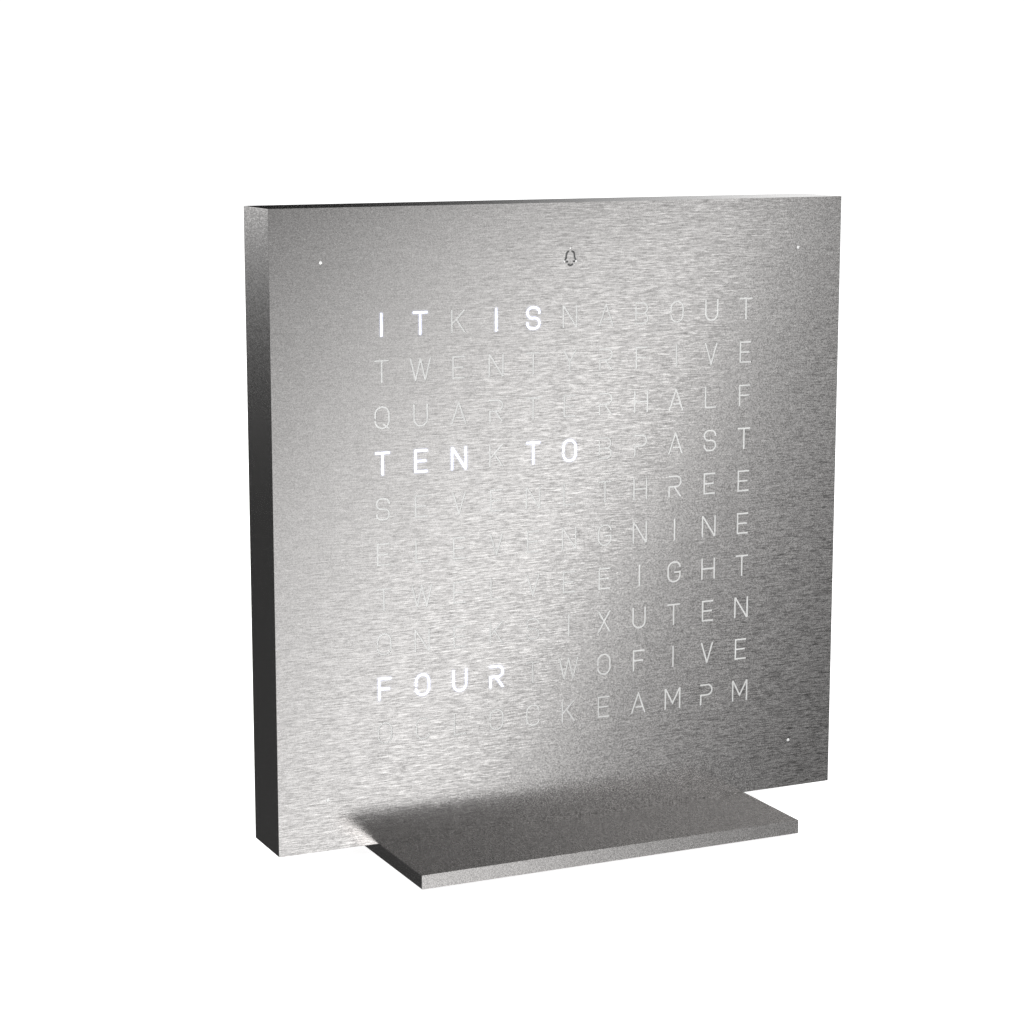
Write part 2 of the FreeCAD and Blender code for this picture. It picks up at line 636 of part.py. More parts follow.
def make_board():
    body = new_body("led_board", depth="places.boardFront", up="places.middle")
    outer = sketch_on(body, "XZ_Plane")
    rectangle(outer, "places.flatSide", "places.flatSide")
    pad(body, outer, "sizes.boardThick", backwards=True)
    holes = sketch_on(body, "XZ_Plane")
    stud_holes(holes)
    pocket(body, holes, "sizes.boardThick")
    return body


# Lamps stand on the front of the board and shine towards the face
def make_lamps():
    lamp = new_body("lamp", depth="places.boardFront - sizes.ledTall", up="places.middle")
    package = sketch_on(lamp, "XZ_Plane")
    rectangle(package, "sizes.ledWide", "sizes.ledHigh")
    pad(lamp, package, "sizes.ledTall", backwards=True)
    cup = sketch_on(lamp, "XZ_Plane")
    circle(cup, "sizes.cupWide")
    pocket(lamp, cup, "sizes.cupDeep")
    bell = place("bellUp")
    sensor = new_body("light_sensor", "sizes.sensorApart", "places.boardFront - sizes.sensorTall",
                      "places.middle + places.bellUp")
    sensor_case = sketch_on(sensor, "XZ_Plane")
    rectangle(sensor_case, "sizes.sensorSide", "sizes.sensorSide")
    pad(sensor, sensor_case, "sizes.sensorTall", backwards=True)
    return [
        copies("letter_leds", lamp, [tuple(spot) for _, spot in letter_places()]),
        copies("minute_leds", lamp, square_spots("dotOffset")),
        copies("alarm_led", lamp, [(-size("sensorApart"), 0, bell)]),
        sensor,
    ]


# Studs are welded to the inside of the face, spacers screw on them and clamp board, box and inlay
def make_studs():
    stud_radius, flange_radius = "sizes.smallThread / 2", "sizes.flangeWide / 2"
    long = "places.boardRear + sizes.studBite - places.filmFront"
    stud = turned("stud", [("0", "0"), (flange_radius, "0"), (flange_radius, "sizes.flangeThick"),
                           (stud_radius, "sizes.flangeThick"), (stud_radius, long), ("0", long)],
                  depth="places.filmFront", up="places.middle")
    spacer = new_body("spacer", depth="places.boardRear", up="places.middle")
    outside = sketch_on(spacer, "XZ_Plane")
    hexagon(outside, "sizes.spacerAcross")
    circle(outside, "places.threadBore")
    pad(spacer, outside, "sizes.partRoom", backwards=True)
    corners = square_spots("studOffset")
    return [copies("face_studs", stud, corners), copies("hex_spacers", spacer, corners)]


def countersunk_screw(name, thread, head, long, key, **where):
    """A screw whose head is at its own origin and whose shank runs up its axis."""
    cone = f"sizes.headLip + ({head} - {thread}) / 2"
    profile = [("0", "0"), (f"{head} / 2", "0"), (f"{head} / 2", "sizes.headLip"),
               (f"{thread} / 2", cone), (f"{thread} / 2", long), ("0", long)]
    body = turned(name, profile, **where)
    plane = "XY_Plane" if where.get("upright") else "XZ_Plane"
    drive = sketch_on(body, plane)
    hexagon(drive, key)
    pocket(body, drive, "sizes.keyDeep", backwards=bool(where.get("upright")))
    return body


# Rear cover: a flat plate inside the shell's rim, with the keys, the power socket and sound holes
def make_rear_cover():
    body = new_body("rear_cover_plate", depth="places.coverFront", up="places.middle")
    outer = sketch_on(body, "XZ_Plane")
    rectangle(outer, "places.flatSide", "places.flatSide")
    plate = pad(body, outer, "sizes.coverThick", backwards=True)
    thick = size("coverThick")
    soften(body, plate, "Chamfer", "sizes.fitGap", lambda mid, way: abs(mid.y - thick) < TINY)
    holes = sketch_on(body, "XZ_Plane")
    stud_holes(holes)
    for number in range(len(KEYS)):
        circle(holes, "sizes.keyWide + 2 * sizes.keyGap", key_across(number), "places.keyUp - places.middle")
    buzzer_up = "places.socketUp + sizes.buzzerUp - places.middle"
    circle(holes, "sizes.soundHole", "sizes.buzzerAcross", buzzer_up)
    pocket(body, holes, "sizes.coverThick")
    ring = sketch_on(body, "XZ_Plane")
    for step in range(RING_HOLES):
        turn = 360 * step / RING_HOLES
        circle(ring, "sizes.soundHole", f"sizes.buzzerAcross + sizes.soundRing / 2 * cos({turn})",
               f"{buzzer_up} + sizes.soundRing / 2 * sin({turn})")
    pocket(body, ring, "sizes.coverThick")
    mouth = sketch_on(body, "XZ_Plane")
    rectangle(mouth, "sizes.socketWide + 2 * sizes.socketGap", "sizes.socketHigh + 2 * sizes.socketGap",
              up="places.socketUp - places.middle")
    opening = pocket(body, mouth, "sizes.coverThick")
    half, level = size("socketWide"), place("socketUp") - place("middle")
    soften(body, opening, "Fillet", "sizes.socketRound + sizes.socketGap",
           lambda mid, way: runs_back(way) and abs(mid.x) < half and abs(mid.z - level) < half)
    return joined("Cut", "rear_cover", body, screw_seats())


def screw_seats():
    """Cones for the heads of the cover screws, opening to the back."""
    head = size("smallHead") / 2 + size("threadGap")
    hole = place("throughHole") / 2
    lip = size("headLip") + size("threadGap")
    back, forward = place("back"), FreeCAD.Vector(0, -1, 0)
    cones = []
    for across, _, up in square_spots("studOffset"):
        top = FreeCAD.Vector(across, back, up + place("middle"))
        cones.append(Part.makeCylinder(head, lip, top, forward))
        cones.append(Part.makeCone(head, hole, head - hole, top + forward * lip, forward))
    return feature_of("cover_screw_seats", Part.makeCompound(cones))


def key_across(number):
    return f"sizes.keyPitch * {number - (len(KEYS) - 1) / 2}"


def make_cover_screws():
    # Turned about Y with the head at the origin, so the pattern is flipped to point forward
    screw = countersunk_screw("cover_screw", "sizes.smallThread", "sizes.smallHead", "sizes.smallScrew",
                              "sizes.smallKey")
    shape = screw.Shape.mirror(FreeCAD.Vector(), FreeCAD.Vector(0, 1, 0))
    seat = FreeCAD.Vector(0, place("back"), place("middle"))
    solids = [shape.translated(seat + FreeCAD.Vector(*spot)) for spot in square_spots("studOffset")]
    return feature_of("rear_cover_screws", Part.makeCompound(solids))


# Foot: a flat plate under the shell, screwed to a threaded bar inside it, with a thin pad below
def make_foot():
    plate = new_body("foot_plate", up="sizes.padThick")
    outer = sketch_on(plate, "XY_Plane")
    rectangle(outer, "sizes.footWide", "places.footDeep")
    slab = pad(plate, outer, "sizes.footThick")
    soften(plate, slab, "Fillet", "sizes.edgeBreak", lambda mid, way: True)
    centres = sketch_on(plate, "XY_Plane")
    for side in ("-", ""):
        circle(centres, "places.footHole", f"{side}sizes.footSpan / 2", "places.screwLine")
    doc.recompute()
    holes = plate.newObject("PartDesign::Hole", "foot_plate_holes")
    holes.Profile = centres
    holes.DepthType = "ThroughAll"
    holes.Reversed = True
    holes.HoleCutType = "Countersink"
    holes.HoleCutCustomValues = True
    holes.setExpression("Diameter", "places.footHole")
    holes.setExpression("HoleCutDiameter", "sizes.footHead + 2 * (sizes.headLip + sizes.threadGap)")
    holes.HoleCutCountersinkAngle = 90
    doc.recompute()

    bar = new_body("foot_bar", depth="places.screwLine", up="places.barUp")
    section = sketch_on(bar, "XY_Plane")
    rectangle(section, "sizes.barLong", "places.barDeep")
    for side in ("-", ""):
        circle(section, "places.footBore", f"{side}sizes.footSpan / 2")
    pad(bar, section, "sizes.barTall")

    screw = countersunk_screw("foot_screw", "sizes.footThread", "sizes.footHead", "sizes.footScrew",
                              "sizes.footKey", depth="places.screwLine", up="sizes.padThick", upright=True)
    half = size("footSpan") / 2
    screws = copies("foot_screws", screw, [(-half, 0, 0), (half, 0, 0)])

    anti_slip = new_body("anti_slip_pad")
    sheet = sketch_on(anti_slip, "XY_Plane")
    rectangle(sheet, "sizes.footWide - 2 * sizes.padInset", "places.footDeep - 2 * sizes.padInset")
    pad(anti_slip, sheet, "sizes.padThick")
    return [plate, bar, screws, anti_slip]


# Keys with their switches: each key rests on a plunger that slides in a switch body
def make_keys():
    nodes = []
    collar, stem = "sizes.collarWide / 2", "sizes.keyWide / 2"
    long = "places.keyLong"
    for number, name in enumerate(KEYS):
        across = key_across(number)
        key = turned(f"{name}_key", [("0", "0"), (collar, "0"), (collar, "sizes.collarThick"),
                                     (stem, "sizes.collarThick"), (stem, long), ("0", long)],
                     across, "places.collarFront", "places.keyUp")
        rim, crown = size("keyWide") / 2, place("keyLong")
        turn = key.Tip
        names = [f"Edge{n}" for n, edge in enumerate(turn.Shape.Edges, start=1)
                 if abs(edge.BoundBox.YMin - crown) < TINY and abs(edge.BoundBox.XMax - rim) < TINY]
        blend = key.newObject("PartDesign::Fillet", f"{name}_key_rim")
        blend.Base = (turn, names)
        blend.setExpression("Radius", "sizes.keyRound")
        radius, stroke = "sizes.plungerWide / 2", "places.plungerLong"
        plunger = turned(f"{name}_plunger", [("0", "0"), (radius, "0"), (radius, stroke), ("0", stroke)],
                         across, "places.plungerFront", "places.keyUp")
        nodes += [key, plunger]

    switch = new_body("switch", "0", "places.boardRear", "places.keyUp")
    base = sketch_on(switch, "XZ_Plane")
    rectangle(base, "sizes.switchSide", "sizes.switchSide")
    pad(switch, base, "places.switchTall", backwards=True)
    bore = sketch_on(switch, "XZ_Plane", "-sizes.switchFloor")
    circle(bore, "sizes.plungerWide + 2 * sizes.plungerGap")
    pocket(switch, bore, "places.switchTall")
    pitch = size("keyPitch")
    spots = [((number - (len(KEYS) - 1) / 2) * pitch, 0, 0) for number in range(len(KEYS))]
    return nodes + [copies("switch_bodies", switch, spots)]


def rounded_bar(name, wide, high, radius, depth):
    body = new_body(name, "0", depth, "places.socketUp")
    section = sketch_on(body, "XZ_Plane")
    rectangle(section, wide, high)
    block = pad(body, section, "places.socketLong", backwards=True)
    soften(body, block, "Fillet", radius, lambda mid, way: runs_back(way))
    return body


# Power socket: a metal shell that stands on the board, with a contact tongue in its middle
def make_socket():
    wall = "2 * sizes.socketWall"
    outside = rounded_bar("socket_outside", "sizes.socketWide", "sizes.socketHigh", "sizes.socketRound",
                          "places.boardRear")
    hollow = rounded_bar("socket_hollow", f"sizes.socketWide - {wall}", f"sizes.socketHigh - {wall}",
                         "sizes.socketRound - sizes.socketWall", "places.boardRear + sizes.socketWall")
    shell = joined("Cut", "socket_shell", outside, hollow)
    tongue = new_body("socket_tongue", "0", "places.boardRear + sizes.socketWall", "places.socketUp")
    blade = sketch_on(tongue, "XZ_Plane")
    rectangle(blade, "sizes.tongueWide", "sizes.tongueThick")
    pad(tongue, blade, "places.socketLong - sizes.socketWall - sizes.tongueSunk", backwards=True)
    return [shell, tongue]


def make_buzzer():
    where = {"across": "sizes.buzzerAcross", "up": "places.socketUp + sizes.buzzerUp"}
    outside, mouth = "sizes.buzzerWide / 2", "sizes.buzzerMouth / 2"
    inside = f"{outside} - sizes.buzzerWall"
    seat = f"{inside} - sizes.buzzerWall"
    top = "places.buzzerTall"
    case = turned("buzzer_case", [(seat, "0"), (outside, "0"), (outside, top), (mouth, top),
                                  (mouth, f"{top} - sizes.buzzerWall"), (inside, f"{top} - sizes.buzzerWall"),
                                  (inside, "sizes.buzzerStep"), (seat, "sizes.buzzerStep")],
                  depth="places.boardRear", **where)
    edge = f"{inside} - sizes.discGap"
    disc = turned("buzzer_disc", [("0", "0"), (edge, "0"), (edge, "sizes.discThick"),
                                  ("0", "sizes.discThick")],
                  depth="places.boardRear + sizes.buzzerStep", **where)
    return [case, disc]


# Backup cell in a round holder, under a clip of bent sheet that stands on the board
def make_backup_cell():
    where = {"across": "sizes.coinAcross", "up": "places.socketUp + sizes.coinUp"}
    wide, tall, crown = "sizes.coinWide / 2", "sizes.coinTall", "sizes.coinCrown"
    cell = turned("coin_cell", [("0", "0"), (f"{wide} - {crown}", "0"), (f"{wide} - {crown}", crown),
                                (wide, crown), (wide, tall), ("0", tall)],
                  depth="places.boardRear + sizes.holderFloor", **where)
    rim, inside = "places.holderWide / 2", f"{wide} + sizes.coinGap"
    rim_top = f"sizes.holderFloor + {tall} / 2"
    holder = turned("coin_cell_holder", [("0", "0"), (rim, "0"), (rim, rim_top), (inside, rim_top),
                                         (inside, "sizes.holderFloor"), ("0", "sizes.holderFloor")],
                    depth="places.boardRear", **where)
    clip = new_body("coin_cell_clip", where["across"], "places.boardRear", where["up"])
    leg_in, leg_out = f"{rim} + sizes.coinGap", f"{rim} + sizes.coinGap + sizes.clipThick"
    under = f"sizes.holderFloor + {tall}"
    over = f"{under} + sizes.clipThick"
    section = sketch_on(clip, "XY_Plane", "-sizes.clipWide / 2")
    outline(section, [(f"-({leg_out})", "0"), (f"-({leg_in})", "0"), (f"-({leg_in})", under), (leg_in, under),
                      (leg_in, "0"), (leg_out, "0"), (leg_out, over), (f"-({leg_out})", over)])
    pad(clip, section, "sizes.clipWide")
    return [cell, holder, clip]


def board_block(name, label, level="places.middle", mirror_across=False, mirror_up=False):
    """A plain component on the rear of the board, repeated as a mirror image where it comes in pairs."""
    body = new_body(f"{label}_block", "0", "places.boardRear", level)
    base = sketch_on(body, "XZ_Plane")
    rectangle(base, f"sizes.{name}Wide", f"sizes.{name}High")
    block = pad(body, base, f"sizes.{name}Tall", backwards=True)
    tall = size(f"{name}Tall")
    soften(body, block, "Chamfer", "sizes.blockEdge", lambda mid, way: abs(mid.y - tall) < TINY)
    across, up = size(f"{name}Across"), size(f"{name}Up")
    spots = [(a * across, 0, b * up) for a in ((-1, 1) if mirror_across else (1,))
             for b in ((-1, 1) if mirror_up else (1,))]
    return copies(label, body, spots)


nodes = [make_front_cover(), *make_inlays(), make_light_baffle(), make_board(), *make_lamps(), *make_studs(),
         make_rear_cover(), make_cover_screws(), *make_foot(), *make_keys(), *make_socket(), *make_buzzer(),
         *make_backup_cell(),
         board_block("controller", "controller_chip"),
         board_block("driver", "led_driver_chips", mirror_across=True, mirror_up=True),
         board_block("timer", "clock_chip"),
         board_block("crystal", "clock_crystal"),
         board_block("regulator", "power_regulator", level="places.socketUp"),
         board_block("inductor", "power_inductor", level="places.socketUp"),
         board_block("capacitor", "capacitors", level="places.socketUp", mirror_across=True)]
doc.recompute()

for thing in doc.Objects:
    if {"Invalid", "Error"} & set(thing.State):
        raise ValueError(f"{thing.Label} did not build: {thing.State}")
for node in nodes:
    if node.Shape.isNull() or not node.Shape.isValid() or not node.Shape.Solids:
        raise ValueError(f"{node.Label} has no sound shape")

os.makedirs("parts", exist_ok=True)
for node in nodes:
    node.Shape.exportStep(f"parts/{node.Label}.step")
print(len(nodes), "nodes,", sum(len(node.Shape.Solids) for node in nodes), "solids")
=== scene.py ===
import bpy
import math
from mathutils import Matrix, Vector


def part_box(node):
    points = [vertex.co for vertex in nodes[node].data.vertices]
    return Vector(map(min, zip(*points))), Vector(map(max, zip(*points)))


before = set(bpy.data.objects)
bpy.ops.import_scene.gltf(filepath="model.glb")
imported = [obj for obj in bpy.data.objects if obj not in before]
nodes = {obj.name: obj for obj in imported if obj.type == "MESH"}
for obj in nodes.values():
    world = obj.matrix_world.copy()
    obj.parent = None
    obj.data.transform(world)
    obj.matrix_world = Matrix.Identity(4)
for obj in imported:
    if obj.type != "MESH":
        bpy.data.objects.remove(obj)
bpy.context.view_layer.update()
mm = 0.001
slant = 0.545      # how far the bright band on the face leans, X over Z
print("frame loaded:", len(nodes), "nodes")


# Helpers for shader nodes

def newMaterial(name):
    material = bpy.data.materials.new(name)
    material.use_nodes = True
    return material, material.node_tree


def placeOf(tree):
    # X, Y and Z of the point that is shaded
    coords = tree.nodes.new("ShaderNodeTexCoord")
    parts = tree.nodes.new("ShaderNodeSeparateXYZ")
    tree.links.new(coords.outputs["Object"], parts.inputs["Vector"])
    return parts.outputs


def noiseOf(tree, cell, detail=2.0, seed=0.0):
    # cell is the size of one grain along X, Y and Z, in mm
    coords = tree.nodes.new("ShaderNodeTexCoord")
    mapping = tree.nodes.new("ShaderNodeMapping")
    mapping.inputs["Location"].default_value = (seed, seed, seed)
    mapping.inputs["Scale"].default_value = [1 / (side * mm) for side in cell]
    noise = tree.nodes.new("ShaderNodeTexNoise")
    noise.inputs["Scale"].default_value = 1
    noise.inputs["Detail"].default_value = detail
    tree.links.new(coords.outputs["Object"], mapping.inputs["Vector"])
    tree.links.new(mapping.outputs["Vector"], noise.inputs["Vector"])
    return noise.outputs["Fac"]


def setOrLink(tree, sockets, values):
    for socket, value in zip(sockets, values):
        if isinstance(value, (int, float, tuple)):
            socket.default_value = value
        else:
            tree.links.new(value, socket)


def mathOf(tree, kind, first, second=0):
    node = tree.nodes.new("ShaderNodeMath")
    node.operation = kind
    setOrLink(tree, node.inputs, (first, second))
    return node.outputs[0]


def vectorOf(tree, kind, first, second=(0, 0, 0)):
    node = tree.nodes.new("ShaderNodeVectorMath")
    node.operation = kind
    setOrLink(tree, node.inputs, (first, second))
    return node.outputs["Value" if kind == "DISTANCE" else "Vector"]


def rangeOf(tree, source, low, high, fromLow=0.3, fromHigh=0.7):
    # noise lies mostly between 0.3 and 0.7
    node = tree.nodes.new("ShaderNodeMapRange")
    tree.links.new(source, node.inputs["Value"])
    for name, value in (("From Min", fromLow), ("From Max", fromHigh), ("To Min", low), ("To Max", high)):
        node.inputs[name].default_value = value
    return node.outputs["Result"]


def rampOf(tree, source, stops):
    node = tree.nodes.new("ShaderNodeValToRGB")
    elements = node.color_ramp.elements
    while len(elements) < len(stops):
        elements.new(0.5)
    for element, (place, colour) in zip(elements, stops):
        element.position = place
        element.color = (*colour, 1)
    tree.links.new(source, node.inputs["Fac"])
    return node.outputs["Color"]


def levelsOf(tree, along, stops):
    # a number that changes along a line, from stops in mm
    start, end = stops[0][0], stops[-1][0]
    most = max(level for place, level in stops)
    ramp = rampOf(tree, rangeOf(tree, along, 0, 1, start * mm, end * mm),
                  [((place - start) / (end - start), (level / most,) * 3) for place, level in stops])
    return mathOf(tree, "MULTIPLY", ramp, most)


def bumpOf(tree, height, distance):
    node = tree.nodes.new("ShaderNodeBump")
    node.inputs["Strength"].default_value = 1
    node.inputs["Distance"].default_value = distance
    tree.links.new(height, node.inputs["Height"])
    return node.outputs["Normal"]


def tinted(colour, share):
    return tuple(min(1, part * share) for part in colour)


# Brushed steel: streaks along X in tone on the flat fronts, over a fine grain that also tilts the surface

faceSteel = {
    "colour": (0.629, 0.612, 0.603),
    "roughness": (0.17, 0.20),
    "streak": (1.6, 0.24, 0.24),         # sizes along X, Y and Z in mm, as for the grain
    "longStreak": (4.2, 0.26, 0.26),
    "streakShade": 0.59,
    "grain": (0.25, 0.8, 0.22),
    "grainShade": 0.19,
    # shares of both across the leaning bands of mirrored light, in mm: few streaks at the upper left and in
    # one band. Partly the steel's own brushing, partly painted highlight and shade, as the strength follows
    # where light is mirrored
    "streakShares": ((-105, 0.18), (-90, 0.46), (-70, 0.8), (-50, 1.03), (-26, 1.05), (-14, 0.27),
                     (-6, 0.3), (10, 0.66), (36, 1.0), (62, 1.35)),
    "grainShares": ((-105, 0.8), (-50, 0.85), (-26, 1.05), (-12, 1.8), (10, 1.9), (36, 1.95), (62, 1.5)),
    # above 1 the pale streaks stand out, below 1 the dark ones: painted highlight streaks in the bright band,
    # painted dark streaks to the right of it
    "streakBend": ((-105, 1.1), (-60, 1.3), (-45, 1.7), (-20, 1.7), (-2, 1.0), (15, 0.1), (62, 0.1)),
    "streakSpread": 0.04,                # mean square of the streaks, so that the bend keeps the tone
    "tilt": (0.06, 0.06, 0.07),
    # the sides are the ends of the brushing: rougher, with less grain in tone
    "sideTilt": 2.7,
    "sideCalm": 0.6,
    # just above the foot, where the face mirrors it, the streaks are weak and the grain is strong: a painted
    # reflection of the foot in the tone
    "calm": {"streaks": 0.7, "grain": 0.45, "high": (9 * mm, 14 * mm), "wide": (45 * mm, 52 * mm)},
    "toneReach": 0.6,                    # the darkest and palest tone, as shares off the colour
    "roughReach": 0.3,                   # tones between which the roughness changes
}
footSteel = dict(faceSteel, colour=(0.613, 0.597, 0.588), roughness=(0.25, 0.28), streakShade=0.1,
                 grainShade=0.2, grainShares=((-50, 1.45), (50, 1.6)), sideTilt=1.0, sideCalm=1.4,
                 calm=dict(faceSteel["calm"], grain=0))
frontEdge = -0.08      # a normal with less Y than this belongs to the front or its narrow rounded edges


def normalOf(tree):
    return tree.nodes.new("ShaderNodeNewGeometry").outputs["Normal"]


def facing(tree, axis):
    # 1 where the surface looks along the axis, 0 where it lies along it
    parts = tree.nodes.new("ShaderNodeSeparateXYZ")
    tree.links.new(normalOf(tree), parts.inputs["Vector"])
    return mathOf(tree, "ABSOLUTE", parts.outputs[axis])


def tiltOf(tree, cell, amount, seed, strength):
    # three unlike noises, one for each direction, around zero
    noise = noiseOf(tree, cell, 1, seed).node
    centred = vectorOf(tree, "SUBTRACT", noise.outputs["Color"], (0.5, 0.5, 0.5))
    varied = tree.nodes.new("ShaderNodeVectorMath")
    varied.operation = "SCALE"
    tree.links.new(vectorOf(tree, "MULTIPLY", centred, amount), varied.inputs[0])
    tree.links.new(strength, varied.inputs["Scale"])
    return varied.outputs["Vector"]


def tiltedNormal(tree, tilt):
    # the narrow rounded edges of the front are shaded like the front itself
    parts = tree.nodes.new("ShaderNodeSeparateXYZ")
    tree.links.new(normalOf(tree), parts.inputs["Vector"])
    straight = tree.nodes.new("ShaderNodeMix")
    straight.data_type = "VECTOR"
    tree.links.new(mathOf(tree, "LESS_THAN", parts.outputs["Y"], frontEdge), straight.inputs["Factor"])
    tree.links.new(normalOf(tree), straight.inputs["A"])
    straight.inputs["B"].default_value = (0, -1, 0)
    return vectorOf(tree, "NORMALIZE", vectorOf(tree, "ADD", straight.outputs["Result"], tilt))


def streaksOf(tree, across, look):
    # short and long streaks around zero, bent so that the pale or the dark ones stand out, as painted
    # highlight in the bright band and painted shade beside it
    both = mathOf(tree, "ADD", mathOf(tree, "MULTIPLY", noiseOf(tree, look["streak"], 2, 7), 0.5),
                  mathOf(tree, "MULTIPLY", noiseOf(tree, look["longStreak"], 2, 5), 0.5))
    streak = rangeOf(tree, both, -look["streakShade"], look["streakShade"])
    bulge = mathOf(tree, "SUBTRACT", mathOf(tree, "MULTIPLY", streak, streak), look["streakSpread"])
    bend = mathOf(tree, "SUBTRACT", levelsOf(tree, across, look["streakBend"]), 1)
    return mathOf(tree, "ADD", streak, mathOf(tree, "MULTIPLY", bulge, bend))


def makeBrushedSteel(name, look):
    material, tree = newMaterial(name)
    shader = tree.nodes["Principled BSDF"]
    shader.inputs["Metallic"].default_value = 1
    place = placeOf(tree)
    across = mathOf(tree, "SUBTRACT", place["X"], mathOf(tree, "MULTIPLY", place["Z"], slant))
    calm = look["calm"]
    # painted reflection of the foot: the tone's streaks and grain change where the face mirrors it
    overFoot = mathOf(tree, "MULTIPLY", rangeOf(tree, place["Z"], 1, 0, *calm["high"]),
                      rangeOf(tree, mathOf(tree, "ABSOLUTE", place["X"]), 1, 0, *calm["wide"]))
    # streaks and grain grow and fade along the leaning bands: the brushing is real, its strength there is
    # painted highlight and shade
    streakShare = mathOf(tree, "MULTIPLY", levelsOf(tree, across, look["streakShares"]), facing(tree, "Y"))
    streakShare = mathOf(tree, "MULTIPLY", streakShare, rangeOf(tree, overFoot, 1, 1 - calm["streaks"], 0, 1))
    grainShare = mathOf(tree, "MULTIPLY", levelsOf(tree, across, look["grainShares"]),
                        rangeOf(tree, overFoot, 1, 1 + calm["grain"], 0, 1))
    grainShare = mathOf(tree, "SUBTRACT", grainShare,
                        mathOf(tree, "MULTIPLY", facing(tree, "X"), look["sideCalm"]))
    grain = rangeOf(tree, noiseOf(tree, look["grain"], 1, 3), -look["grainShade"], look["grainShade"])
    tone = mathOf(tree, "ADD", mathOf(tree, "MULTIPLY", streaksOf(tree, across, look), streakShare),
                  mathOf(tree, "MULTIPLY", grain, grainShare))
    reach = look["toneReach"]
    colour = rampOf(tree, rangeOf(tree, tone, 0, 1, -reach, reach),
                    [(0, tinted(look["colour"], 1 - reach)), (1, tinted(look["colour"], 1 + reach))])
    tree.links.new(colour, shader.inputs["Base Color"])
    tree.links.new(rangeOf(tree, tone, *look["roughness"], -look["roughReach"], look["roughReach"]),
                   shader.inputs["Roughness"])
    extra = mathOf(tree, "MULTIPLY", facing(tree, "X"), look["sideTilt"] - 1)
    tilt = tiltOf(tree, look["grain"], look["tilt"], 11, mathOf(tree, "ADD", extra, 1))
    tree.links.new(tiltedNormal(tree, tilt), shader.inputs["Normal"])
    return material


# Other metals and plastics, all with a fine grain of their own

def makeMetal(name, colour, roughness, cell=(0.4, 0.4, 0.4), depth=0.002 * mm):
    material, tree = newMaterial(name)
    shader = tree.nodes["Principled BSDF"]
    shader.inputs["Metallic"].default_value = 1
    grain = noiseOf(tree, cell, 3)
    tree.links.new(rampOf(tree, grain, [(0.3, tinted(colour, 0.92)), (0.7, tinted(colour, 1.05))]),
                   shader.inputs["Base Color"])
    tree.links.new(rangeOf(tree, grain, roughness * 0.85, roughness * 1.15), shader.inputs["Roughness"])
    tree.links.new(bumpOf(tree, grain, depth), shader.inputs["Normal"])
    return material


def makePlastic(name, colour, roughness, cell=(0.3, 0.3, 0.3), depth=0.01 * mm):
    material, tree = newMaterial(name)
    shader = tree.nodes["Principled BSDF"]
    grain = noiseOf(tree, cell, 3)
    cloud = noiseOf(tree, (14, 14, 14), 2, seed=5)
    tree.links.new(rampOf(tree, cloud, [(0.3, tinted(colour, 0.9)), (0.7, tinted(colour, 1.1))]),
                   shader.inputs["Base Color"])
    tree.links.new(rangeOf(tree, grain, roughness * 0.88, roughness * 1.12), shader.inputs["Roughness"])
    tree.links.new(bumpOf(tree, grain, depth), shader.inputs["Normal"])
    return material


# Letters: one material for those at rest, one for those that are lit and one for the minute dots, which are
# paler than the letters at rest as painted light for their dim glow

letters = {
    "columns": 11,
    "rows": 10,
    "lampWide": 2.0 * mm,
    "lampHigh": 1.25 * mm,
    "film": 0.5 * mm,             # thickness of the sheet that carries the strokes
    "restColour": (0.74, 0.74, 0.73),
    # paler than the letters at rest: painted light of the dimly lit minute dots
    "dotColour": (0.88, 0.88, 0.87),
    "roughness": 0.45,
    "cell": (0.2, 0.2, 0.2),
    "depth": 0.001 * mm,
    "offColour": (0.8, 0.82, 0.85),
    "litColour": (0.72, 0.76, 1.0),
    "litStrength": 2.0,
    "falloff": 3.0,               # loss at one pitch from the lamp, and the least that is left
    "least": 0.6,
    # row, first column and length of each lit word, counted from the top left
    "litWords": ((0, 0, 2), (0, 3, 2), (3, 0, 3), (3, 4, 2), (8, 0, 4)),
}
lampLow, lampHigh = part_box("letter_leds")
pitchAcross = (lampHigh.x - lampLow.x - letters["lampWide"]) / (letters["columns"] - 1)
pitchDown = (lampHigh.z - lampLow.z - letters["lampHigh"]) / (letters["rows"] - 1)
gridTopLeft = Vector((lampLow.x + letters["lampWide"] / 2, 0, lampHigh.z - letters["lampHigh"] / 2))
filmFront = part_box("light_baffle")[0].y - letters["film"]


def makeLitWhite(look):
    # brightest over its lamp, a little weaker towards the ends of the strokes
    material, tree = newMaterial("letters lit")
    shader = tree.nodes["Principled BSDF"]
    shader.inputs["Base Color"].default_value = (*look["offColour"], 1)
    shader.inputs["Roughness"].default_value = 0.4
    shader.inputs["Emission Color"].default_value = (*look["litColour"], 1)
    place = placeOf(tree)
    squares = []
    for axis, start, pitch in (("X", gridTopLeft.x, pitchAcross), ("Z", gridTopLeft.z, pitchDown)):
        steps = mathOf(tree, "DIVIDE", mathOf(tree, "SUBTRACT", place[axis], start), pitch)
        off = mathOf(tree, "SUBTRACT", steps, mathOf(tree, "ROUND", steps))
        squares.append(mathOf(tree, "MULTIPLY", off, off))
    loss = mathOf(tree, "MULTIPLY", mathOf(tree, "ADD", *squares), look["falloff"])
    share = mathOf(tree, "MAXIMUM", mathOf(tree, "SUBTRACT", 1, loss), look["least"])
    tree.links.new(mathOf(tree, "MULTIPLY", share, look["litStrength"]), shader.inputs["Emission Strength"])
    return material


haloLook = {"colour": (0.60, 0.66, 1.0), "strength": 0.5, "reach": 0.45 * mm, "samples": 4}


